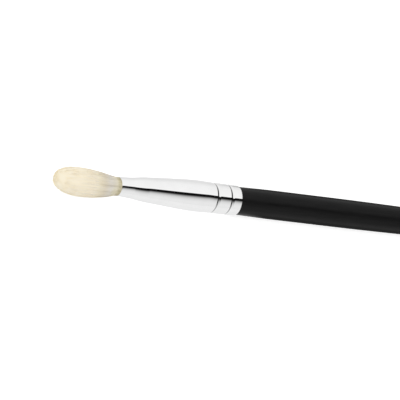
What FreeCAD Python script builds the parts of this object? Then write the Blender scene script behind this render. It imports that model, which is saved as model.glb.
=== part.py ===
import FreeCAD, Part
import os
import Sketcher

# Eyeshadow brush for blending: a tapered tuft of soft pale hair, a bright drawn ferrule that
# is crimped on with two rolled grooves, and a long turned wooden handle in black lacquer.
# Millimetres. The axis of the brush lies on X with the handle towards +X and the hair
# towards -X, and +Z is up. The origin is on the axis, where the ferrule ends on the handle.

document = FreeCAD.newDocument("eyeshadow_brush")
sheet = document.addObject("Spreadsheet::Sheet", "Sizes")
FULL_TURN = 360

# Turns a piece end for end, which also brings the seam of its round faces to the top.
HALF_TURN = FreeCAD.Rotation(FreeCAD.Vector(0, 1, 1), FULL_TURN / 2)


class Size:
    """A length with the text that binds a feature or a sketch to the sheet."""

    rows = 0

    def __init__(self, text, value):
        self.text = text
        self.value = value

    def __add__(self, other):
        return Size("(%s + %s)" % (self.text, other.text), self.value + other.value)

    def __sub__(self, other):
        return Size("(%s - %s)" % (self.text, other.text), self.value - other.value)

    def __mul__(self, share):
        return Size("(%s * %s)" % (self.text, share), self.value * share)

    def lerp(self, other, part, whole):
        """This length, changed towards another as a part goes into a whole."""
        parts = (self.text, other.text, self.text, part.text, whole.text)
        share = part.value / whole.value
        value = self.value + (other.value - self.value) * share
        return Size("(%s + (%s - %s) * (%s) / (%s))" % parts, value)

    def __neg__(self):
        return Size("-(%s)" % self.text, -self.value)


ZERO = Size("0", 0)


def size(name, length):
    """Write one driving dimension in the sheet and give it back for use in the features."""
    Size.rows += 1
    sheet.set("A%d" % Size.rows, name)
    sheet.set("B%d" % Size.rows, str(length))
    sheet.setAlias("B%d" % Size.rows, name)
    return Size("Sizes." + name, length)


class Outline:
    """A closed profile on the XY plane of a body, drawn as (along the axis, out from it)."""

    def __init__(self, body, name, along, out):
        self.sketch = body.newObject("Sketcher::SketchObject", name)
        plane = [item for item in body.Origin.OriginFeatures if item.Role == "XY_Plane"]
        self.sketch.AttachmentSupport = [(plane[0], "")]
        self.sketch.MapMode = "FlatFace"
        self.first = (along, out)
        self.last = (along, out)
        self.edges = []

    def hold(self, edge, end, along=None, out=None):
        """Tie a point of the sketch to the sheet, or to an axis where a distance is nothing."""
        for kind, axis, place in (("DistanceX", -2, along), ("DistanceY", -1, out)):
            if place is None:
                continue
            if place is ZERO:
                self.sketch.addConstraint(Sketcher.Constraint("PointOnObject", edge, end, axis))
            elif place.value > 0:
                self.measure((kind, -1, 1, edge, end, place.value), place)
            else:
                self.measure((kind, edge, end, -1, 1, -place.value), -place)

    def measure(self, rule, length):
        index = self.sketch.addConstraint(Sketcher.Constraint(*rule))
        self.sketch.setExpression("Constraints[%d]" % index, length.text)

    def join(self, edge, start, end, along, out):
        """Start an edge where the last one ended, and hold its far end."""
        if self.edges:
            rule = Sketcher.Constraint("Coincident", *self.edges[-1], edge, start)
            self.sketch.addConstraint(rule)
        else:
            self.hold(edge, start, *self.first)
            self.opening = (edge, start)
        if (along, out) == self.first:
            rule = Sketcher.Constraint("Coincident", edge, end, *self.opening)
            self.sketch.addConstraint(rule)
        else:
            self.hold(edge, end, along, out)
        self.edges.append((edge, end))
        self.last = (along, out)

    def line_to(self, along, out):
        line = Part.LineSegment(point(*self.last), point(along, out))
        self.join(self.sketch.addGeometry(line, False), 1, 2, along, out)

    def arc_to(self, along, out, centre_along=None):
        """An arc whose centre is level with a place along the axis, or else on the axis."""
        start = point(*self.last)
        end = point(along, out)
        if centre_along:
            over = centre_along.value
            rise = (end.x - over) ** 2 - (start.x - over) ** 2 + end.y ** 2 - start.y ** 2
            centre = FreeCAD.Vector(over, rise / (2 * (end.y - start.y)), 0)
        else:
            run = end.x ** 2 - start.x ** 2 + end.y ** 2 - start.y ** 2
            centre = FreeCAD.Vector(run / (2 * (end.x - start.x)), 0, 0)
        circle = Part.Circle(centre, FreeCAD.Vector(0, 0, 1), start.distanceToPoint(centre))
        forward = (start - centre).cross(end - centre).z > 0
        ends = (start, end) if forward else (end, start)
        arc = Part.ArcOfCircle(circle, *[circle.parameter(place) for place in ends])
        edge = self.sketch.addGeometry(arc, False)
        self.join(edge, *((1, 2) if forward else (2, 1)), along, out)
        if centre_along:
            self.hold(edge, 3, along=centre_along)
        else:
            self.hold(edge, 3, out=ZERO)

    def close(self):
        self.line_to(*self.first)
        return self.sketch


def point(along, out):
    return FreeCAD.Vector(along.value, out.value, 0)


def new_body(label):
    body = document.addObject("PartDesign::Body", label)
    body.Label = label
    return body


def turned(body, kind, name, sketch):
    """Turn a closed profile round the axis of the brush, to add material or to cut it away."""
    feature = body.newObject(kind, name)
    feature.Profile = sketch
    feature.ReferenceAxis = (sketch, ["H_Axis"])
    feature.Angle = FULL_TURN
    return feature


def rolled_profile(body, name, place, foot, head):
    """A ring of tapered section: a half width and a radius at its foot, then at its head."""
    foot_half, foot_radius = foot
    head_half, head_radius = head
    ring = Outline(body, name, place - foot_half, foot_radius)
    ring.line_to(place - head_half, head_radius)
    ring.line_to(place + head_half, head_radius)
    ring.line_to(place + foot_half, foot_radius)
    return ring.close()


def repeated(body, name, originals, sketch, step):
    """Repeat features once more along the axis, one step further on."""
    pattern = body.newObject("PartDesign::LinearPattern", name)
    pattern.Originals = originals
    pattern.Direction = (sketch, ["H_Axis"])
    pattern.Occurrences = 2
    pattern.setExpression("Length", step.text)
    body.Tip = pattern
    return pattern


# Ferrule
# A seamless brass tube, spun down to the mouth and plated bright. Its barrel sits on the
# tenon of the handle and is held there by two rolled crimps, whose beads stand out inside.
# Places along it are counted from its rear edge towards the hair, and the nape and the nose
# of its taper lie their lengths back from the mouth.

ferrule_length = size("ferrule_length", 39.0)
barrel_radius = size("barrel_radius", 4.38)
barrel_wall = size("barrel_wall", 0.4)
barrel_length = size("barrel_length", 8.8)
belly_at = size("belly_at", 12.0)
belly_length = size("belly_length", 2.0)
belly_swell = size("belly_swell", 0.12)
flank_at = size("flank_at", 18.5)
flank_drop = size("flank_drop", 0.19)
nape_length = size("nape_length", 8.7)
nape_drop = size("nape_drop", 0.78)
nose_length = size("nose_length", 4.4)
nose_drop = size("nose_drop", 0.55)
mouth_drop = size("mouth_drop", 0.26)
mouth_wall = size("mouth_wall", 0.25)
lip_break = size("lip_break", 0.08)
crimp_at = size("crimp_at", 3.2)
crimp_pitch = size("crimp_pitch", 4.65)
crimp_width = size("crimp_width", 0.8)
crimp_floor = size("crimp_floor", 0.2)
crimp_depth = size("crimp_depth", 0.2)
bead_width = size("bead_width", 1.0)
bead_crest = size("bead_crest", 0.4)
bead_depth = size("bead_depth", 0.2)

half_share = 1 / 2

nape_at = ferrule_length - nape_length
nose_at = ferrule_length - nose_length
belly_radius = barrel_radius + belly_swell
flank_radius = belly_radius - flank_drop
nape_radius = flank_radius - nape_drop
nose_radius = nape_radius - nose_drop
mouth_radius = nose_radius - mouth_drop
bore_radius = barrel_radius - barrel_wall
nape_bore = nape_radius - mouth_wall
nose_bore = nose_radius - mouth_wall
mouth_bore = mouth_radius - mouth_wall

ferrule = new_body("ferrule")
ferrule.Placement.Rotation = HALF_TURN

wall = Outline(ferrule, "ferrule_wall", ZERO, bore_radius)
wall.line_to(ZERO, barrel_radius)
wall.line_to(barrel_length, barrel_radius)
wall.line_to(belly_at, belly_radius)
wall.line_to(belly_at + belly_length, belly_radius)
wall.line_to(flank_at, flank_radius)
wall.line_to(nape_at, nape_radius)
wall.line_to(nose_at, nose_radius)
wall.line_to(ferrule_length - lip_break, mouth_radius)
wall.line_to(ferrule_length, mouth_radius - lip_break)
wall.line_to(ferrule_length, mouth_bore)
wall.line_to(nose_at, nose_bore)
wall.line_to(nape_at, nape_bore)
wall.line_to(flank_at, bore_radius)
turned(ferrule, "PartDesign::Revolution", "ferrule_tube", wall.close())

# The rolled crimp nearest the handle: the bead inside the bore, then the groove outside.
bead_foot = (bead_width * half_share, bore_radius)
bead_head = (bead_crest * half_share, bore_radius - bead_depth)
bead_ring = rolled_profile(ferrule, "crimp_bead_ring", crimp_at, bead_foot, bead_head)
bead = turned(ferrule, "PartDesign::Revolution", "crimp_bead", bead_ring)

groove_foot = (crimp_width * half_share, barrel_radius)
groove_head = (crimp_floor * half_share, barrel_radius - crimp_depth)
groove_ring = rolled_profile(ferrule, "crimp_groove_ring", crimp_at, groove_foot, groove_head)
groove = turned(ferrule, "PartDesign::Groove", "crimp_groove", groove_ring)

repeated(ferrule, "crimps", [bead, groove], groove_ring, crimp_pitch)


# Handle
# Turned from one piece of hardwood and lacquered black. A tenon carries the ferrule up to
# a small shoulder; behind it the handle swells to an even grip, then thins to a blunt
# rounded tail. Places along it are counted from the shoulder.

handle_length = size("handle_length", 120.0)
shoulder_step = size("shoulder_step", 0.36)
grip_at = size("grip_at", 13.0)
grip_swell = size("grip_swell", 0.18)
taper_at = size("taper_at", 34.0)
tail_radius = size("tail_radius", 2.6)
tail_round = size("tail_round", 2.51)
tenon_length = size("tenon_length", 13.2)
tenon_chamfer = size("tenon_chamfer", 0.6)
tenon_clearance = size("tenon_clearance", 0.03)

shoulder_radius = barrel_radius - shoulder_step
grip_radius = shoulder_radius + grip_swell
tenon_radius = bore_radius - tenon_clearance

handle = new_body("handle")

stick = Outline(handle, "handle_outline", -tenon_length, ZERO)
stick.line_to(-tenon_length, tenon_radius - tenon_chamfer)
stick.line_to(tenon_chamfer - tenon_length, tenon_radius)
stick.line_to(ZERO, tenon_radius)
stick.line_to(ZERO, shoulder_radius)
stick.line_to(grip_at, grip_radius)
stick.line_to(taper_at, grip_radius)
stick.arc_to(handle_length - tail_round, tail_radius, taper_at)
stick.arc_to(handle_length, ZERO)
turned(handle, "PartDesign::Revolution", "handle_stick", stick.close())

# The seats that the crimps press into the tenon, a clearance larger than the beads.
seat_foot = (bead_width * half_share + tenon_clearance, tenon_radius)
seat_head = (bead_crest * half_share + tenon_clearance, tenon_radius - bead_depth)
seat_ring = rolled_profile(handle, "crimp_seat_ring", -crimp_at, seat_foot, seat_head)
seat = turned(handle, "PartDesign::Groove", "crimp_seat", seat_ring)
repeated(handle, "crimp_seats", [seat], seat_ring, crimp_pitch).Reversed = True


# Hair
# A bundle of soft undyed hair, cupped so that its tips make a tapered dome. The cut roots
# go into the ferrule past its nape, and a tied neck near their ends holds the bundle. Places
# along it, and along the pieces round its roots, are counted from the mouth of the ferrule,
# and those of the dome lie back from its tip.

hair_length = size("hair_length", 20.5)
flare_at = size("flare_at", 5.6)
flare_radius = size("flare_radius", 3.56)
full_at = size("full_at", 9.5)
full_radius = size("full_radius", 4.12)
full_back = size("full_back", 6.8)
dome_back = size("dome_back", 3.6)
dome_radius = size("dome_radius", 3.5)
crown_back = size("crown_back", 1.4)
crown_radius = size("crown_radius", 2.52)
root_run = size("root_run", 5.2)
root_clearance = size("root_clearance", 0.03)
tie_run = size("tie_run", 2.3)
tie_pinch = size("tie_pinch", 0.3)
tie_slope = size("tie_slope", 0.5)
thread_girth = size("thread_girth", 0.6)
thread_crest = size("thread_crest", 0.16)

thread_turns = 3
thread_band = thread_girth * thread_turns

root_depth = nape_length + root_run
tie_depth = nape_length + tie_run
root_radius = mouth_bore - root_clearance
neck_radius = root_radius - tie_pinch
neck_from = -(tie_depth + thread_band * half_share + root_clearance)
neck_to = -(tie_depth - thread_band * half_share - root_clearance)

hair_tuft = new_body("hair_tuft")
hair_tuft.Placement.Rotation = HALF_TURN
hair_tuft.setExpression("Placement.Base.x", (-ferrule_length).text)

tuft = Outline(hair_tuft, "tuft_outline", -root_depth, ZERO)
tuft.line_to(-root_depth, root_radius)
tuft.line_to(neck_from - tie_slope, root_radius)
tuft.line_to(neck_from, neck_radius)
tuft.line_to(neck_to, neck_radius)
tuft.line_to(neck_to + tie_slope, root_radius)
tuft.line_to(ZERO, root_radius)
tuft.line_to(flare_at, flare_radius)
tuft.line_to(full_at, full_radius)
tuft.line_to(hair_length - full_back, full_radius)
tuft.line_to(hair_length - dome_back, dome_radius)
tuft.line_to(hair_length - crown_back, crown_radius)
tuft.arc_to(hair_length, ZERO)
turned(hair_tuft, "PartDesign::Revolution", "tuft", tuft.close())


# Binding thread
# Waxed cotton thread, wound tight turn beside turn round the neck of the roots before the
# bundle is pushed into the ferrule. The turns lie hard together, so they are one band.

thread_foot = neck_radius + root_clearance
thread_from = -(tie_depth + thread_band * half_share)
thread_crown = thread_foot + thread_girth

binding_thread = new_body("binding_thread")
binding_thread.Placement.Rotation = HALF_TURN
binding_thread.setExpression("Placement.Base.x", (-ferrule_length).text)

band = Outline(binding_thread, "thread_outline", thread_from, thread_foot)
band.line_to(thread_from, thread_crown - thread_crest)
for turn in range(thread_turns):
    band.line_to(thread_from + thread_girth * (turn + half_share), thread_crown)
    band.line_to(thread_from + thread_girth * (turn + 1), thread_crown - thread_crest)
band.line_to(thread_from + thread_band, thread_foot)
turned(binding_thread, "PartDesign::Revolution", "winding", band.close())


# Root plug
# Clear resin poured in from behind. It fills the tapered bore round the tied roots and
# sets there, so that the hair can't pull out.

plug_clearance = size("plug_clearance", 0.04)
plug_floor = size("plug_floor", 1.6)
plug_inset = size("plug_inset", 0.5)


def bore_inside(along):
    """The radius of a piece just inside the long straight taper of the bore."""
    part = ferrule_length + along - flank_at
    return bore_radius.lerp(nape_bore, part, nape_at - flank_at) - plug_clearance


plug_back = -(root_depth + plug_floor)
plug_front = -(nape_length + plug_inset)
socket_end = -(root_depth + root_clearance)
socket_radius = root_radius + root_clearance
thread_room = thread_crown + root_clearance

root_plug = new_body("root_plug")
root_plug.Placement.Rotation = HALF_TURN
root_plug.setExpression("Placement.Base.x", (-ferrule_length).text)

plug = Outline(root_plug, "plug_outline", plug_back, ZERO)
plug.line_to(plug_back, bore_inside(plug_back))
plug.line_to(plug_front, bore_inside(plug_front))
plug.line_to(plug_front, socket_radius)
plug.line_to(neck_to, socket_radius)
plug.line_to(neck_to, thread_room)
plug.line_to(neck_from, thread_room)
plug.line_to(neck_from, socket_radius)
plug.line_to(socket_end, socket_radius)
plug.line_to(socket_end, ZERO)
turned(root_plug, "PartDesign::Revolution", "plug", plug.close())


# Check and write
# Every object has to be sound before any file is written.

document.recompute()
for item in document.Objects:
    if "Invalid" in item.State or "Error" in item.State:
        raise RuntimeError("%s did not build: %s" % (item.Label, item.State))

pieces = (handle, ferrule, hair_tuft, binding_thread, root_plug)
for body in pieces:
    shape = body.Shape
    if shape.isNull() or not shape.isValid() or len(shape.Solids) != 1:
        raise RuntimeError("%s is not one sound solid" % body.Label)
    print("%s: volume %.2f" % (body.Label, shape.Volume))

os.makedirs("parts", exist_ok=True)
for body in pieces:
    body.Shape.exportStep(os.path.join("parts", body.Label + ".step"))
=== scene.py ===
import math

import bmesh
import bpy
import numpy as np
from mathutils import Matrix, Vector
from mathutils.geometry import interpolate_bezier


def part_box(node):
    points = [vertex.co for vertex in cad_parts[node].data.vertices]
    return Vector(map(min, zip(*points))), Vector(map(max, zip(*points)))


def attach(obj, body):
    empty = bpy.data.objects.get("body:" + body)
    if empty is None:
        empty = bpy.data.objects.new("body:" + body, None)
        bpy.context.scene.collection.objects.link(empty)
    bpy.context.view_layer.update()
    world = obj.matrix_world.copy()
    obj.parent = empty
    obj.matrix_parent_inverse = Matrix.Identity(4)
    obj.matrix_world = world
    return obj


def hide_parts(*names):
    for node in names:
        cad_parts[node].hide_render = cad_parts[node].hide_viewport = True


# An eyeshadow brush: a tapered tuft of soft pale hair, a bright crimped ferrule and a long
# handle in black lacquer. Its axis lies on X, the hair towards -X, and the ferrule meets the
# handle at the origin. Lengths are in metres, written as millimetres times MM.

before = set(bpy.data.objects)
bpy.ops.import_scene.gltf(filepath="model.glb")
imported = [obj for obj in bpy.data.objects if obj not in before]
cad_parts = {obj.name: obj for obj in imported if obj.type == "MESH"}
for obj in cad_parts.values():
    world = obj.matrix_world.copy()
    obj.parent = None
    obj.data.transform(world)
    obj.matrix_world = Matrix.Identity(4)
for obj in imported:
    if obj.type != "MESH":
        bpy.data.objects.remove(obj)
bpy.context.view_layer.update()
MM = 0.001


# Handle
# One stick of hardwood, turned on a lathe and dipped in black lacquer that dries to a satin
# with a faint orange peel. Its bare tenon goes into the ferrule, which covers two rolled seats.

handle_low, handle_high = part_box("handle")

grip_radius = handle_high.z
tail_at = handle_high.x
tenon_end = handle_low.x
shoulder_radius = grip_radius - 0.18 * MM
shoulder_ease = 0.12 * MM
belly_from = 14 * MM
belly_to = 34 * MM
tail_radius = 2.55 * MM
tail_round = 2.6 * MM
tenon_radius = 3.95 * MM
tenon_chamfer = 0.6 * MM

# The handle's sweeps: the swell behind its shoulder, its taper and its tail. Each has its two
# pulls and its steps.
swell_pulls = ((4.6 * MM, shoulder_radius + 0.09 * MM), (9.4 * MM, grip_radius))
taper_pulls = ((64 * MM, grip_radius), (92 * MM, 3.42 * MM))
tail_pulls = ((tail_at - 0.9 * MM, tail_radius - 0.17 * MM), (tail_at, 1.3 * MM))
SWELL_STEPS = 24
TAPER_STEPS = 90
TAIL_STEPS = 24

# The crimps press this deep. A seat's half width is given at its edges and on its floor.
crimp_places = (-3.2 * MM, -7.85 * MM)
crimp_depth = 0.2 * MM
seat_edge = 0.53 * MM
seat_floor = 0.23 * MM

# Steps round a turned piece and over an eased corner, and along its outline.
TURNED_STEPS = 160
EASED_STEPS = 5
FINE_STEP = 0.3 * MM
MOST_CUTS = 200
MERGE_GAP = 0.0002 * MM


def spot(along, out):
    """A point of a turned outline, along the axis and out from it."""
    return Vector((along, 0, out))


def sweep(start, pulls, end, count):
    """Points of one smooth sweep of an outline, after its start and up to its end. It leaves
    its start towards its first pull, and comes to its end from the second."""
    return interpolate_bezier(start, spot(*pulls[0]), spot(*pulls[1]), end, count + 1)[1:]


def pressed(place, edge, floor, radius):
    """The four points of an outline where a crimp presses in from a radius, towards the tail."""
    steps = ((-edge, 0), (-floor, crimp_depth), (floor, crimp_depth), (edge, 0))
    return [spot(place + over, radius - depth) for over, depth in steps]


def turned(name, outline, rounds, finish, steps=TURNED_STEPS):
    """Spin an outline round the axis. Each round is a corner of it and how far it is eased."""
    shape = bmesh.new()
    corners = [shape.verts.new(place) for place in outline]
    for start, end in zip(corners, corners[1:]):
        shape.edges.new((start, end))
    eased = [(corners[index], offset) for index, offset in rounds]
    for corner, offset in eased:
        bmesh.ops.bevel(
            shape, geom=[corner], offset=offset, offset_type="OFFSET", segments=EASED_STEPS,
            profile=0.5, affect="VERTICES", material=-1, clamp_overlap=True,
        )
    for edge in list(shape.edges):
        cuts = int(edge.calc_length() / FINE_STEP)
        if cuts:
            bmesh.ops.subdivide_edges(shape, edges=[edge], cuts=min(cuts, MOST_CUTS))
    bmesh.ops.spin(
        shape, geom=shape.verts[:] + shape.edges[:], cent=(0, 0, 0), axis=(1, 0, 0),
        angle=math.tau, steps=steps, use_merge=True,
    )
    bmesh.ops.remove_doubles(shape, verts=shape.verts[:], dist=MERGE_GAP)
    bmesh.ops.recalc_face_normals(shape, faces=shape.faces[:])
    mesh = bpy.data.meshes.new(name)
    shape.to_mesh(mesh)
    shape.free()
    mesh.shade_smooth()
    return placed(name, mesh, finish)


def placed(name, mesh, finish):
    """Put a finished mesh in the scene as a piece of the brush."""
    mesh.materials.append(finish)
    piece = bpy.data.objects.new(name, mesh)
    bpy.context.scene.collection.objects.link(piece)
    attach(piece, "root")
    return piece


class Wire:
    """An output of a shader node. Arithmetic on it adds Math nodes to its tree."""

    def __init__(self, nodes, socket):
        self.nodes = nodes
        self.socket = socket

    def out(self, name):
        """Another output of the same node."""
        return Wire(self.nodes, self.socket.node.outputs[name])

    def math(self, operation, *values):
        """A Math node on the values given, of which this wire need not be one."""
        return self.nodes.node("ShaderNodeMath", {"operation": operation}, values)

    def __add__(self, other):
        return self.math("ADD", self, other)

    def __radd__(self, other):
        return self.math("ADD", other, self)

    def __sub__(self, other):
        return self.math("SUBTRACT", self, other)

    def __rsub__(self, other):
        return self.math("SUBTRACT", other, self)

    def __mul__(self, other):
        return self.math("MULTIPLY", self, other)

    def __rmul__(self, other):
        return self.math("MULTIPLY", other, self)


class Nodes:
    """The node tree of one finish, or of the light round the brush."""

    def __init__(self, owner):
        owner.use_nodes = True
        self.tree = owner.node_tree

    def node(self, kind, settings, inputs=(), output=0):
        """Add a node: its settings first, then its inputs, by name or in order."""
        node = self.tree.nodes.new(kind)
        for setting, value in settings.items():
            if setting == "stops":
                self.set_stops(node.color_ramp, value)
            else:
                setattr(node, setting, value)
        inputs = inputs if isinstance(inputs, dict) else dict(enumerate(inputs))
        for place, value in inputs.items():
            self.feed(node.inputs[place], value)
        return Wire(self, node.outputs[output])

    def ramp(self, share, stops):
        """A colour or grey that follows a share through its stops."""
        return self.node("ShaderNodeValToRGB", {"stops": stops}, [share])

    def soft_step(self, value, start, end, low, high):
        """A number that eases from low to high as a value goes from start to end."""
        return self.node(
            "ShaderNodeMapRange", {"interpolation_type": "SMOOTHSTEP"},
            [value, start, end, low, high],
        )

    def feed(self, socket, value):
        """Link a wire to a socket, or set the socket to a plain value."""
        if isinstance(value, Wire):
            self.tree.links.new(value.socket, socket)
        else:
            socket.default_value = value

    def set_stops(self, ramp, stops):
        """Each stop is its place and its colour, or one number for a grey."""
        while len(ramp.elements) < len(stops):
            ramp.elements.new(1)
        for element, (place, colour) in zip(ramp.elements, stops):
            element.position = place
            element.color = (*colour, 1) if hasattr(colour, "__len__") else (colour,) * 3 + (1,)


class Finish(Nodes):
    """A material of the brush, whose shader is set by the names of its sockets."""

    usual_noise = (0.3, 0.7)

    def __init__(self, name):
        self.material = bpy.data.materials.new(name)
        super().__init__(self.material)
        self.shader = self.tree.nodes["Principled BSDF"]

    def set(self, sockets):
        """Feed the shader's sockets by name, and return the material."""
        for name, value in sockets.items():
            self.feed(self.shader.inputs[name], value)
        return self.material

    def shader_wire(self):
        return Wire(self, self.shader.outputs["BSDF"])

    def place(self, stretch=(1, 1, 1)):
        """Where a point lies on the brush, in metres, stretched along the axes."""
        here = self.node("ShaderNodeTexCoord", {}, output="Object")
        return self.node("ShaderNodeMapping", {}, {"Vector": here, "Scale": stretch})

    def noise(self, place, scale, detail=2):
        """Noise with this many cells to the metre."""
        return self.node(
            "ShaderNodeTexNoise", {}, {"Vector": place, "Scale": scale, "Detail": detail}
        )

    def between(self, share, low, high):
        """A number that goes from low to high over the usual spread of a noise."""
        return self.node("ShaderNodeMapRange", {}, [share, *self.usual_noise, low, high])

    def bump(self, height, strength, distance):
        """A Normal that follows a height, whose full range stands this far out."""
        return self.node(
            "ShaderNodeBump", {}, {"Height": height, "Strength": strength, "Distance": distance}
        )


def black_lacquer():
    """Near black over a trace of the wood's grain, with a fine orange peel and dust."""
    finish = Finish("black_lacquer")
    grain = finish.noise(finish.place((0.08, 1, 1)), 2200, 3)
    peel = finish.noise(finish.place(), 1900, 2)
    dust = finish.noise(finish.place(), 5200, 1)
    return finish.set({
        "Base Color": finish.ramp(
            grain, ((0.35, (0.0055, 0.0055, 0.0056)), (0.7, (0.0085, 0.0083, 0.0084)))
        ),
        "Roughness": finish.between(peel, 0.28, 0.36),
        "Specular IOR Level": 0.12,
        "Normal": finish.bump(peel * 0.7 + dust * 0.3, 0.1, 0.02 * MM),
    })


def handle_outline():
    """The stick from its tenon's end to its tail, and the corners that are eased."""
    outline = [spot(tenon_end, 0), spot(tenon_end, tenon_radius - tenon_chamfer)]
    outline += [spot(tenon_end + tenon_chamfer, tenon_radius)]
    for place in reversed(crimp_places):
        outline += pressed(place, seat_edge, seat_floor, tenon_radius)
    outline += [spot(0, tenon_radius), spot(0, shoulder_radius)]
    shoulder = len(outline) - 1
    outline += sweep(outline[-1], swell_pulls, spot(belly_from, grip_radius), SWELL_STEPS)
    outline.append(spot(belly_to, grip_radius))
    tail = spot(tail_at - tail_round, tail_radius)
    outline += sweep(outline[-1], taper_pulls, tail, TAPER_STEPS)
    outline += sweep(tail, tail_pulls, spot(tail_at, 0), TAIL_STEPS)
    return outline, [(shoulder, shoulder_ease)]


handle = turned("handle_stick", *handle_outline(), black_lacquer())
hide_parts("handle")


# Ferrule
# Seamless brass tube, spun down to a narrow mouth, rolled with two crimps that grip the
# tenon, and plated bright. The rim at each end is burnished over to a soft edge.

ferrule_low, ferrule_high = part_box("ferrule")

ferrule_end = ferrule_low.x
belly_radius = ferrule_high.z
barrel_radius = belly_radius - 0.12 * MM
mouth_radius = 2.72 * MM
mouth_bore = 2.47 * MM
bore_radius = 3.98 * MM

# A crimp's groove in the outside, and the half width of its ridge in the bore.
groove_half = 0.6 * MM
groove_depth = 0.14 * MM
ridge_edge = 0.5 * MM
ridge_floor = 0.2 * MM
GROOVE_STEPS = 12

# The outside from the end of the barrel to the mouth: the pulls, end and steps of each sweep.
# The bore's corners follow it inside, from the mouth to the tenon's room.
barrel_end = -9 * MM
taper_sweeps = (
    (((-10.4 * MM, barrel_radius), (-11.2 * MM, belly_radius)), (-12.9 * MM, belly_radius), 18),
    (((-15.6 * MM, belly_radius), (-18.6 * MM, 4.31 * MM)), (-21.6 * MM, 4.11 * MM), 40),
    (((-25.2 * MM, 3.87 * MM), (-28.2 * MM, 3.68 * MM)), (-30.3 * MM, 3.53 * MM), 30),
    (((-31.6 * MM, 3.43 * MM), (-33.2 * MM, 3.11 * MM)), (-34.9 * MM, 2.97 * MM), 24),
)
bore_corners = (
    (ferrule_end + 4.4 * MM, 2.73 * MM), (ferrule_end + 8.7 * MM, 3.28 * MM),
    (-18.5 * MM, bore_radius),
)

# The rear edge is drawn in by its lip. How far each edge is eased: the rear one inside and
# out, and the mouth out and inside.
rear_lip = 0.04 * MM
rear_eases = (0.05 * MM, 0.07 * MM)
mouth_eases = (0.09 * MM, 0.07 * MM)
RIM_STEPS = 192

# The painted shade on a groove's wall: how far it lies towards the hair, how far it is shaded
# at full and at all, and the share of the brightness that it keeps.
shaded_wall_towards_hair = 0.24 * MM
painted_shade_reach = (0.1 * MM, 0.36 * MM)
PAINTED_SHADE_SHARE = 0.42


def bright_plate():
    """Clear bright plating with fine rub marks along it. The groove's wall on the side of the
    hair is darker, a painted shade in the crimp."""
    finish = Finish("bright_plate")
    haze = finish.noise(finish.place(), 420, 3)
    rubs = finish.noise(finish.place((0.06, 1, 1)), 5200, 2)
    here = finish.node("ShaderNodeSeparateXYZ", {}, [finish.place()])
    bright = finish.between(haze, 0.888, 0.915)
    # Painted shade on the wall of each groove, towards the hair.
    for place in crimp_places:
        off_wall = here.math("ABSOLUTE", here - (place - shaded_wall_towards_hair))
        bright = bright * finish.soft_step(off_wall, *painted_shade_reach, PAINTED_SHADE_SHARE, 1)
    return finish.set({
        "Base Color": bright,
        "Metallic": 1.0,
        "Roughness": finish.between(haze, 0.025, 0.045),
        "Normal": finish.bump(rubs, 0.03, 0.004 * MM),
    })


def ferrule_outline():
    """The tube's section, from the rear edge over its outside and back through the bore."""
    outline = [spot(0, bore_radius), spot(0, barrel_radius - rear_lip)]
    eased = list(enumerate(rear_eases))
    floor_radius = barrel_radius - groove_depth
    for place in crimp_places:
        near = place + groove_half / 2
        far = place - groove_half / 2
        outline.append(spot(place + groove_half, barrel_radius))
        outline += sweep(
            outline[-1], ((near, barrel_radius), (near, floor_radius)),
            spot(place, floor_radius), GROOVE_STEPS,
        )
        outline += sweep(
            outline[-1], ((far, floor_radius), (far, barrel_radius)),
            spot(place - groove_half, barrel_radius), GROOVE_STEPS,
        )
    outline.append(spot(barrel_end, barrel_radius))
    for pulls, end, count in taper_sweeps:
        outline += sweep(outline[-1], pulls, spot(*end), count)
    eased += enumerate(mouth_eases, len(outline))
    outline += [spot(ferrule_end, mouth_radius), spot(ferrule_end, mouth_bore)]
    outline += [spot(*corner) for corner in bore_corners]
    for place in reversed(crimp_places):
        outline += pressed(place, ridge_edge, ridge_floor, bore_radius)
    outline.append(spot(0, bore_radius))
    return outline, eased


ferrule = turned("ferrule_tube", *ferrule_outline(), bright_plate(), steps=RIM_STEPS)
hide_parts("ferrule")


# Hair
# Soft undyed hair, cupped in a mould so that the natural tips make a tapered dome, and never
# cut. Thousands of hairs stand in loose locks round a dense middle, with some flyaways.

hair_low, hair_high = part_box("hair_tuft")
hair_length = ferrule_end - hair_low.x
hair_radius = hair_high.z
root_end = hair_high.x
hair_thickness = 0.085 * MM
loose_thickness = hair_thickness * 0.5

# The tuft's outline: shares of its length from the mouth, and of its full radius.
outline_along_shares = (0, 0.106, 0.273, 0.456, 0.574, 0.662, 0.737, 0.824, 0.893, 0.945, 0.988, 1)
outline_out_shares = (0.6, 0.726, 0.864, 0.981, 1, 0.99, 0.95, 0.85, 0.721, 0.563, 0.306, 0)
# The path of an outer hair, which bends in less than the outline does and ends on it.
path_along_shares = (-0.15, 0, 0.106, 0.273, 0.456, 0.574, 0.737, 0.864, 1)
path_out_shares = (0.585, 0.6, 0.726, 0.864, 0.979, 0.997, 0.958, 0.86, 0.74)

# How far the tuft bends aside, towards +Y, at shares of its length.
bend_along_shares = (-0.15, 0, 0.15, 0.3, 0.5, 0.7, 0.85, 1)
bend_aside_mm = (0, 0, -0.2, -0.18, -0.09, -0.01, 0.15, 0.27)

# The dense middle: how near it comes to the outline along its length, and where the thread
# draws in the neck of the roots. The neck's half width is given at its edges and its floor.
middle_along_shares = (0, 0.3, 0.5, 0.65)
middle_out_shares = (0.95, 0.977, 0.98, 0.99)
middle_length_share = 0.993
middle_from_share = 0.06
mouth_share = 0.96
MIDDLE_STEPS = 40
BUNDLE_STEPS = 96
root_radius = mouth_bore - 0.03 * MM
neck_radius = root_radius - 0.3 * MM
neck_middle = ferrule_end + 11 * MM
neck_edge = 1.43 * MM
neck_floor = 0.93 * MM

# A hair's stations from root to tip, as shares of its run, and its thickness along them.
STATIONS = np.array((0, 0.18, 0.38, 0.58, 0.76, 0.9, 1))
SIDES = 3
taper_along_shares = (0, 0.5, 0.9, 1)
taper_shares = (0.85, 1, 0.85, 0.3)

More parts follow.
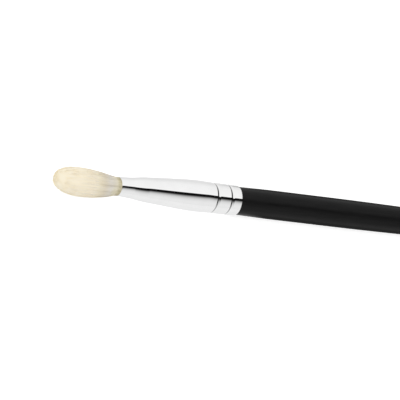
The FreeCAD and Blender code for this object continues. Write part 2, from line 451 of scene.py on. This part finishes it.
# Each layer of hairs: the ring of the bundle that it fills, as shares, and its count.
HAIR_LAYERS = ((0, 0.5, 1400), (0.5, 0.8, 2400), (0.8, 0.96, 2600), (0.96, 1, 2000))
LOOSE_RING = (0.85, 1)
LOOSE_HAIRS = 480
LOOSE_STRAY = 0.09

# The hairs stand in locks. A lock draws its hairs in, and they share its length and tone.
LOCKS = 150
LOCK_PULL = 0.16
PULL_EASE = 0.8
LOCK_SCATTER = 0.01
LOCK_LENGTHS = (-0.02, 0.012)
LOCK_TONE = 0.8
OWN_TONE = 0.2

# How each hair differs, as shares of the tuft's length or radius: where its root starts, how
# far its tip falls short, how many are much shorter and by how much, and its wave and lean.
ROOT_STARTS = (-0.13, -0.08)
TIP_SCATTER = 0.016
SHORT_HAIRS = 0.15
SHORTEST_BY = 0.12
WAVE_DEPTH = 0.009
WAVE_RADIANS = (3, 8)
LEAN_SCATTER = 0.012

# Its thickness beside the usual one, and its turn about itself in radians.
GIRTH_SHARES = (0.75, 1.2)
TWIST_SCATTER = 0.35

# How far the darker hairs' shade fades by their tips, and how pale the stray hairs are.
SHADE_FADING = 0.55
STRAY_PALENESS = 0.8
draw = np.random.default_rng(41)


def smooth_through(places, along, out):
    """Values on a smooth line through (along, out), which never overshoots its points."""
    along, out = np.asarray(along, float), np.asarray(out, float)
    steps = np.diff(out) / np.diff(along)
    slopes = np.empty_like(out)
    slopes[0], slopes[-1] = steps[0], steps[-1]
    before, after = steps[:-1], steps[1:]
    level = before * after <= 0
    slopes[1:-1] = np.where(level, 0, 2 * before * after / np.where(level, 1, before + after))
    index = np.clip(np.searchsorted(along, places, side="right") - 1, 0, len(steps) - 1)
    width = along[index + 1] - along[index]
    share = np.clip((places - along[index]) / width, 0, 1)
    start = out[index] * (1 + 2 * share) * (1 - share) ** 2
    end = out[index + 1] * share ** 2 * (3 - 2 * share)
    lean = slopes[index] * share * (1 - share) ** 2
    lean += slopes[index + 1] * share ** 2 * (share - 1)
    return start + end + width * lean


def disc(count, inner=0.0, outer=1.0):
    """Even random places on a disc or ring of radius one."""
    radius = np.sqrt(draw.uniform(inner ** 2, outer ** 2, count))
    angle = draw.uniform(0, math.tau, count)
    return np.stack((radius * np.cos(angle), radius * np.sin(angle)), axis=1)


def bend_aside(along):
    """How far the tuft bends aside at shares of its length."""
    return smooth_through(along, bend_along_shares, bend_aside_mm) * MM


# Where a hair of a given share of the radius meets the outline of the dome, and ends.
dome_places = np.linspace(0.5, 1, 200)
dome_reach = smooth_through(dome_places, outline_along_shares, outline_out_shares)
dome_reach /= smooth_through(dome_places, path_along_shares, path_out_shares)
lock_places = disc(LOCKS)
lock_lengths = np.clip(draw.normal(0, LOCK_SCATTER, LOCKS), *LOCK_LENGTHS)
lock_tones = draw.uniform(0, 1, LOCKS)


def lay_hairs(count, inner, outer, stray=0.0):
    """Stations of hairs that rise from a ring of the bundle, and a tone for each of them."""
    roots = disc(count, inner, outer)
    reach = np.linalg.norm(roots, axis=1)
    gaps = np.linalg.norm(roots[:, None] - lock_places[None], axis=2)
    lock = np.argmin(gaps, axis=1)
    ends = np.interp(-reach, -dome_reach, dome_places)
    short_by = np.abs(draw.normal(0, TIP_SCATTER, count))
    ends += lock_lengths[lock] * np.minimum(1, reach * 2) - short_by
    ends -= (draw.random(count) < SHORT_HAIRS) * draw.uniform(0, SHORTEST_BY, count)
    starts = draw.uniform(*ROOT_STARTS, count)
    along = starts[:, None] + (ends - starts)[:, None] * STATIONS
    free = np.clip(along, 0, 1)
    pull = LOCK_PULL * free ** PULL_EASE
    across = roots[:, None] + (lock_places[lock] - roots)[:, None] * pull[:, :, None]
    first_turn = draw.uniform(0, math.tau, (count, 1, 2))
    waves = first_turn + along[:, :, None] * draw.uniform(*WAVE_RADIANS, (count, 1, 2))
    across += np.sin(waves) * WAVE_DEPTH * free[:, :, None]
    lean = draw.normal(0, LEAN_SCATTER + stray, (count, 1, 2))
    across += lean * free[:, :, None] ** 2
    size = np.linalg.norm(across, axis=2, keepdims=True)
    across *= np.minimum(1, (1 + stray) / np.maximum(size, 0.001))
    out = smooth_through(along, path_along_shares, path_out_shares) * hair_radius
    places = np.empty((count, len(STATIONS), 3))
    places[:, :, 0] = ferrule_end - along * hair_length
    places[:, :, 1:] = across * out[:, :, None]
    places[:, :, 1] += bend_aside(along)
    tones = np.clip(LOCK_TONE * lock_tones[lock] + OWN_TONE * draw.random(count), 0, 1)
    return places, tones


def one_hair():
    """A hair to copy: a closed rod of few sides, with a ring of points at each station."""
    rings = len(STATIONS)
    shape = bmesh.new()
    bmesh.ops.create_cone(
        shape, cap_ends=True, cap_tris=False, segments=SIDES, radius1=1, radius2=1,
        depth=rings - 1,
    )
    bmesh.ops.translate(shape, verts=shape.verts[:], vec=(0, 0, (rings - 1) / 2))
    long_edges = [edge for edge in shape.edges if edge.calc_length() > (rings - 1) * 0.99]
    bmesh.ops.subdivide_edges(shape, edges=long_edges, cuts=rings - 2, use_grid_fill=True)
    mesh = bpy.data.meshes.new("one_hair")
    shape.to_mesh(mesh)
    shape.free()
    return mesh


def swept_hairs(name, places, tones, finish, thickness):
    """One layer of copies of the hair, each laid along its stations and thinned to its tip."""
    hair = one_hair()
    rod = np.empty((len(hair.vertices), 3))
    hair.vertices.foreach_get("co", rod.ravel())
    station = np.rint(rod[:, 2]).astype(int)
    source = bpy.data.objects.new(name, hair)
    bpy.context.scene.collection.objects.link(source)
    copies = source.modifiers.new("copies", "ARRAY")
    copies.use_relative_offset = False
    copies.count = len(places)
    ready = bpy.context.evaluated_depsgraph_get()
    mesh = bpy.data.meshes.new_from_object(source.evaluated_get(ready))
    bpy.data.objects.remove(source)
    taper = np.interp(STATIONS, taper_along_shares, taper_shares) * thickness / 2
    girth = draw.uniform(*GIRTH_SHARES, (len(places), 1)) * taper
    middle = places[:, len(STATIONS) // 2]
    twist = draw.normal(0, TWIST_SCATTER, len(places))
    facing_out = np.arctan2(middle[:, 2], middle[:, 1]) + twist
    turn = facing_out - math.atan2(rod[0, 1], rod[0, 0]) - math.pi / SIDES
    across = np.stack((np.cos(turn), -np.sin(turn), np.sin(turn), np.cos(turn)), axis=1)
    section = np.einsum("hij,vj->hvi", across.reshape(-1, 2, 2), rod[:, :2])
    laid = places[:, station]
    laid[:, :, 1:] += girth[:, station, None] * section
    mesh.vertices.foreach_set("co", laid.ravel())
    corners = np.empty(len(mesh.loops), int)
    mesh.loops.foreach_get("vertex_index", corners)
    spread = np.empty((len(corners), 2))
    spread[:, 0] = tones[corners // len(rod)]
    spread[:, 1] = STATIONS[station[corners % len(rod)]]
    mesh.uv_layers.new(name="OFBake").uv.foreach_set("vector", spread.ravel())
    mesh.name = name
    mesh.update()
    piece = placed(name, mesh, finish)
    return piece


def hair_colour(finish, along, tone):
    """From painted shade at the roots, darker and greyer towards the mouth, and a painted lift a
    fifth of the way out, to the cream tips, with darker hairs among them that fade away towards
    the tips."""
    # Darker and greyer towards the roots is painted shade; the lighter stop at 0.22 is painted
    # light over the hairs' own shade.
    root_shade_to_tip = finish.ramp(along, (
        (0.05, (0.62, 0.56, 0.39)), (0.15, (0.66, 0.605, 0.42)), (0.22, (0.82, 0.77, 0.63)),
        (0.36, (0.79, 0.755, 0.69)), (0.48, (0.79, 0.72, 0.585)), (0.61, (0.92, 0.85, 0.675)),
        (0.72, (0.975, 0.895, 0.73)), (1, (0.98, 0.90, 0.71)),
    ))
    shade = finish.ramp(tone + along * along * SHADE_FADING, (
        (0, (0.74, 0.71, 0.66)), (0.22, (0.93, 0.92, 0.89)), (0.5, (1, 0.995, 0.98)), (1, 1),
    ))
    return finish.node(
        "ShaderNodeMix", {"data_type": "RGBA", "blend_type": "MULTIPLY"},
        {0: 1, 6: root_shade_to_tip, 7: shade}, output=2,
    )


def pale_hair(name, fading):
    """The hairs carry their tone and their run from root to tip in their own map. Fading takes
    the finish from the hair's own colour, at 0, to the pale grey of a stray hair, at 1."""
    finish = Finish(name)
    spread = finish.node("ShaderNodeUVMap", {"uv_map": "OFBake"})
    tone = finish.node("ShaderNodeSeparateXYZ", {}, [spread])
    own_colour = hair_colour(finish, tone.out("Y"), tone)
    pale_grey = (0.87, 0.85, 0.82, 1)
    faded = finish.node(
        "ShaderNodeMix", {"data_type": "RGBA"}, {0: fading, 6: own_colour, 7: pale_grey}, output=2
    )
    return finish.set({
        "Base Color": faded,
        "Roughness": finish.between(tone, 0.5, 0.65),
        "Specular IOR Level": 0.35,
        "Sheen Weight": 0.15,
        "Sheen Roughness": 0.5,
    })


def dense_hair():
    """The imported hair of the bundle's middle, drawn on its surface as fine streaks."""
    finish = Finish("dense_hair")
    here = finish.node("ShaderNodeTexCoord", {}, output="Object")
    along = finish.node("ShaderNodeSeparateXYZ", {}, [here])
    along = (along * -1 + ferrule_end) * (1 / hair_length)
    streaks = finish.noise(finish.place((0.05, 1, 1)), 9000, 3)
    return finish.set({
        "Base Color": hair_colour(finish, along, streaks),
        "Roughness": finish.between(streaks, 0.6, 0.75),
        "Specular IOR Level": 0.3,
        "Normal": finish.bump(streaks, 0.6, 0.04 * MM),
    })


def bundle_outline():
    """The dense middle, from the cut roots past the tied neck to just under the dome."""
    outline = [spot(root_end, 0), spot(root_end, root_radius)]
    outline.append(spot(neck_middle + neck_edge, root_radius))
    outline.append(spot(neck_middle + neck_floor, neck_radius))
    outline.append(spot(neck_middle - neck_floor, neck_radius))
    outline.append(spot(neck_middle - neck_edge, root_radius))
    outline.append(spot(ferrule_end, root_radius * mouth_share))
    places = np.linspace(middle_from_share, 1, MIDDLE_STEPS)
    reach = smooth_through(places, outline_along_shares, outline_out_shares)
    reach *= np.interp(places, middle_along_shares, middle_out_shares)
    for place, out in zip(places, reach):
        along = ferrule_end - hair_length * middle_length_share * place
        outline.append(spot(along, hair_radius * out))
    return outline, []


hair_finish = pale_hair("pale_hair", 0)
for layer, (inner, outer, count) in enumerate(HAIR_LAYERS, 1):
    places, tones = lay_hairs(count, inner, outer)
    swept_hairs(f"hair_layer_{layer}", places, tones, hair_finish, hair_thickness)
places, tones = lay_hairs(LOOSE_HAIRS, *LOOSE_RING, stray=LOOSE_STRAY)
loose_finish = pale_hair("loose_hair", STRAY_PALENESS)
swept_hairs("hair_flyaways", places, tones, loose_finish, loose_thickness)

bundle = turned("hair_bundle", *bundle_outline(), dense_hair(), steps=BUNDLE_STEPS)
for corner in bundle.data.vertices:
    corner.co.y += bend_aside((ferrule_end - corner.co.x) / hair_length)
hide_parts("hair_tuft")


# Binding thread
# Waxed two-ply cotton, wound three times round the neck of the roots before the bundle is
# pushed up the ferrule. It can't be seen once the brush is together.

thread_low, thread_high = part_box("binding_thread")
thread_radius = 0.29 * MM
thread_middle = (thread_low.x + thread_high.x) / 2
THREAD_TURNS = 3
TURN_POINTS = 40


def waxed_thread():
    """Cream cotton, darker and smoother where its fibres hold more of the wax."""
    finish = Finish("waxed_thread")
    fibre = finish.noise(finish.place((3, 1, 1)), 4200, 4)
    return finish.set({
        "Base Color": finish.ramp(fibre, ((0.3, (0.55, 0.49, 0.37)), (0.7, (0.82, 0.77, 0.64)))),
        "Roughness": finish.between(fibre, 0.55, 0.8),
        "Normal": finish.bump(fibre, 0.5, 0.03 * MM),
    })


def wound_thread():
    """A helix of thread that fills its CAD piece's room, as a mesh with closed ends."""
    winding = bpy.data.curves.new("winding", "CURVE")
    winding.dimensions = "3D"
    winding.bevel_depth = thread_radius
    winding.bevel_resolution = 3
    winding.use_fill_caps = True
    count = THREAD_TURNS * TURN_POINTS + 1
    line = winding.splines.new("POLY")
    line.points.add(count - 1)
    out = thread_high.z - thread_radius
    run = thread_high.x - thread_low.x - 2 * thread_radius
    for index, point in enumerate(line.points):
        share = index / (count - 1)
        turn = math.tau * THREAD_TURNS * share
        along = thread_middle + run * (share - 0.5)
        point.co = (along, out * math.cos(turn), out * math.sin(turn), 1)
    holder = bpy.data.objects.new("winding", winding)
    bpy.context.scene.collection.objects.link(holder)
    ready = bpy.context.evaluated_depsgraph_get()
    mesh = bpy.data.meshes.new_from_object(holder.evaluated_get(ready))
    bpy.data.objects.remove(holder)
    mesh.name = "tied_thread"
    mesh.materials.clear()
    mesh.shade_smooth()
    return mesh


thread = placed("tied_thread", wound_thread(), waxed_thread())
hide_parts("binding_thread")


# Root plug
# Clear resin that is poured in behind the roots and sets in the taper of the ferrule. It keeps
# its turned solid and only gets its finish, a honey tint with a little haze.


def clear_resin():
    """Set resin that lets light through, clouded where the roots gave off air."""
    finish = Finish("clear_resin")
    haze = finish.noise(finish.place(), 900, 3)
    return finish.set({
        "Base Color": finish.ramp(haze, ((0.3, (0.62, 0.50, 0.26)), (0.7, (0.80, 0.71, 0.47)))),
        "Roughness": finish.between(haze, 0.12, 0.3),
        "Transmission Weight": 0.6,
        "IOR": 1.52,
    })


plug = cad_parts["root_plug"]
plug.data.materials.clear()
plug.data.materials.append(clear_resin())


# Studio
# The brush lies on a white table in a white tent. A thin dark slot in the tent, where the
# camera looks through, shows in the plating as one black line along the ferrule.

# The camera looks down on the brush, turned towards its hair, with the axis tilted in the
# image. The image's scale is in pixels to the millimetre, and its origin is where the
# shoulder of the handle falls.
VIEW_HEIGHT = math.radians(70)
VIEW_TURN = math.radians(31.5)
IMAGE_TILT = math.radians(6.86)
IMAGE_SIZE = 400
IMAGE_SCALE = 3.5
IMAGE_ORIGIN = (234.55, 200.5)
CAMERA_DISTANCE = 1100 * MM
SENSOR_WIDTH = 36
TABLE_SPAN = 1.2
table_level = -belly_radius - 0.01 * MM

# The table glows for the camera. What the brush mirrors of it is painted at these levels, dimmer
# over this run from its front to its back, less a painted shade beside the handle. The painted
# shade comes in over one stretch along the axis and one at the front, and goes out over one at the
# back.
TABLE_GLOW = 0.62
PAINTED_MIRROR_LEVELS = (0.93, 0.83)
mirrored_run = (-20 * MM, 20 * MM)
PAINTED_HANDLE_SHADE = 0.74
shade_along = (7 * MM, 14 * MM)
shade_front = (-17 * MM, -8 * MM)
shade_back = (16 * MM, 40 * MM)

# The tent is drawn in degrees about the brush, from the camera's own direction. The slot's
# upper edge lies this far over, and it leans and widens for what the ferrule's taper mirrors.
SLOT_EDGE = 18.5
SLOT_LEAN = 20
SLOT_WIDTH = 0.86
SLOT_WIDENING = 1.2

# The share along the axis of a ray that the brush mirrors: off the level tube, at least this
# off the taper, where the slot is widest and narrowest, and where a dark flag begins and ends.
LEVEL_SHARE = 0.52
TAPER_SHARE = 0.27
WIDEST_SHARE = 0.33
NARROWEST_SHARE = 0.45
FLAG_SHARES = (0.61, 0.7)
FLAG_LEVEL = 0.02

# The tent's brightness at degrees past the slot's upper edge. The slot lies just before 0.
TENT_LEVELS = (
    (-165, 0.86), (-75, 0.89), (-62, 0.85), (-52, 0.79), (-45, 0.72), (-38, 0.6), (-33, 0.47),
    (-28, 0.31), (-24, 0.14), (-20, 0.03), (-17.5, 0.003), (-0.4, 0.003), (0.4, 1.04), (9, 1.0),
    (45, 0.98), (75, 0.96), (95, 0.9), (155, 0.84),
)

facing = Vector((
    -math.sin(VIEW_TURN), -math.cos(VIEW_TURN) * math.cos(VIEW_HEIGHT),
    math.cos(VIEW_TURN) * math.sin(VIEW_HEIGHT),
))
towards_hair = (Vector((-1, 0, 0)) - math.sin(VIEW_TURN) * facing) / math.cos(VIEW_TURN)
side = facing.cross(towards_hair)
right = -math.cos(IMAGE_TILT) * towards_hair - math.sin(IMAGE_TILT) * side
up = math.sin(IMAGE_TILT) * towards_hair - math.cos(IMAGE_TILT) * side


def white_table():
    """A white top that the camera sees a little brighter than lit. What the brush mirrors of
    it is painted: white, dimmer towards the back, with a painted shade close beside the handle."""
    finish = Finish("white_table")
    seen = finish.node("ShaderNodeLightPath", {}, output="Is Camera Ray")
    mirrored = finish.node("ShaderNodeLightPath", {}, output="Is Glossy Ray")
    here = finish.node("ShaderNodeSeparateXYZ", {}, [finish.place()])
    aside = here.out("Y")
    # A painted shade beside the handle and a painted dimming towards the back, seen only in
    # mirrors.
    beside_it = finish.soft_step(aside, *shade_front, 0, 1)
    behind_it = finish.soft_step(aside, *shade_back, 1, 0)
    handle_shade_mask = finish.soft_step(here, *shade_along, 0, 1) * beside_it * behind_it
    front_to_back = finish.soft_step(aside, *mirrored_run, *PAINTED_MIRROR_LEVELS)
    finish.set({
        "Base Color": (0.8, 0.8, 0.8, 1),
        "Roughness": 0.9,
        "Specular IOR Level": 0.0,
        "Emission Color": seen * TABLE_GLOW,
        "Emission Strength": 1.0,
    })
    # What the brush mirrors is painted: dimmer towards the back, less the painted shade beside the
    # handle.
    plain = finish.node("ShaderNodeBsdfPrincipled", {}, {
        "Base Color": (0, 0, 0, 1),
        "Specular IOR Level": 0.0,
        "Emission Color": front_to_back - handle_shade_mask * PAINTED_HANDLE_SHADE,
        "Emission Strength": 1.0,
    })
    end = finish.tree.nodes["Material Output"]
    both = finish.node("ShaderNodeMixShader", {}, [mirrored, finish.shader_wire(), plain])
    finish.feed(end.inputs["Surface"], both)
    return finish.material


def table_top():
    """The table, just under the brush. It isn't part of the brush."""
    shape = bmesh.new()
    bmesh.ops.create_grid(shape, x_segments=1, y_segments=1, size=TABLE_SPAN)
    bmesh.ops.translate(shape, verts=shape.verts[:], vec=(0, 0, table_level))
    mesh = bpy.data.meshes.new("table_top")
    shape.to_mesh(mesh)
    shape.free()
    mesh.materials.append(white_table())
    top = bpy.data.objects.new("table_top", mesh)
    bpy.context.scene.collection.objects.link(top)


def tent_light():
    """White light all round. What the brush mirrors of it is graded by the angle about the
    brush, with the slot and with the flag, which the crimps show as dark lines."""
    world = bpy.data.worlds.new("white_tent")
    bpy.context.scene.world = world
    tent = Nodes(world)
    here = tent.node("ShaderNodeTexCoord", {}, output="Generated")

    def towards(axis):
        """How far the light's direction lies along an axis."""
        return tent.node(
            "ShaderNodeVectorMath", {"operation": "DOT_PRODUCT"}, [here, axis], output="Value"
        )

    front = towards((0, -math.cos(VIEW_HEIGHT), math.sin(VIEW_HEIGHT)))
    over = towards((0, math.sin(VIEW_HEIGHT), math.cos(VIEW_HEIGHT)))
    end = tent.node("ShaderNodeSeparateXYZ", {}, [here])
    on_taper = LEVEL_SHARE - end.math("MAXIMUM", end, TAPER_SHARE)
    past_edge = over.math("ARCTAN2", over, front) * math.degrees(1)
    past_edge = past_edge + (on_taper * SLOT_LEAN - SLOT_EDGE)
    wide = end.math("MINIMUM", end.math("MAXIMUM", end, WIDEST_SHARE), NARROWEST_SHARE)
    width = (NARROWEST_SHARE - wide) * SLOT_WIDENING + SLOT_WIDTH
    turn = past_edge.math("DIVIDE", past_edge, width * 360) + 0.5
    glow = tent.ramp(turn, [(0.5 + degrees / 360, level) for degrees, level in TENT_LEVELS])
    flag = tent.soft_step(end, *FLAG_SHARES, 1, FLAG_LEVEL)
    mirrored = tent.node("ShaderNodeLightPath", {}, output="Is Glossy Ray")
    strength = mirrored * (glow * flag - 1) + 1
    background = tent.tree.nodes["Background"]
    tent.feed(background.inputs["Strength"], strength)
    background.inputs["Color"].default_value = (1, 1, 1, 1)


def studio_camera():
    """A long lens, set so that the shoulder of the handle falls on its place in the image."""
    data = bpy.data.cameras.new("camera")
    data.sensor_width = SENSOR_WIDTH
    data.lens = SENSOR_WIDTH * IMAGE_SCALE * CAMERA_DISTANCE / MM / IMAGE_SIZE
    data.clip_start = 0.01
    data.clip_end = 10
    camera = bpy.data.objects.new("camera", data)
    bpy.context.scene.collection.objects.link(camera)
    across = (IMAGE_ORIGIN[0] - IMAGE_SIZE / 2) / IMAGE_SCALE * MM
    down = (IMAGE_ORIGIN[1] - IMAGE_SIZE / 2) / IMAGE_SCALE * MM
    camera.location = facing * CAMERA_DISTANCE - right * across + up * down
    camera.rotation_mode = "QUATERNION"
    from_axes = np.array((right, up, facing)).T
    camera.rotation_quaternion = Matrix(from_axes.tolist()).to_quaternion()
    bpy.context.scene.camera = camera


table_top()
tent_light()
studio_camera()
bpy.context.scene.view_settings.view_transform = "Standard"
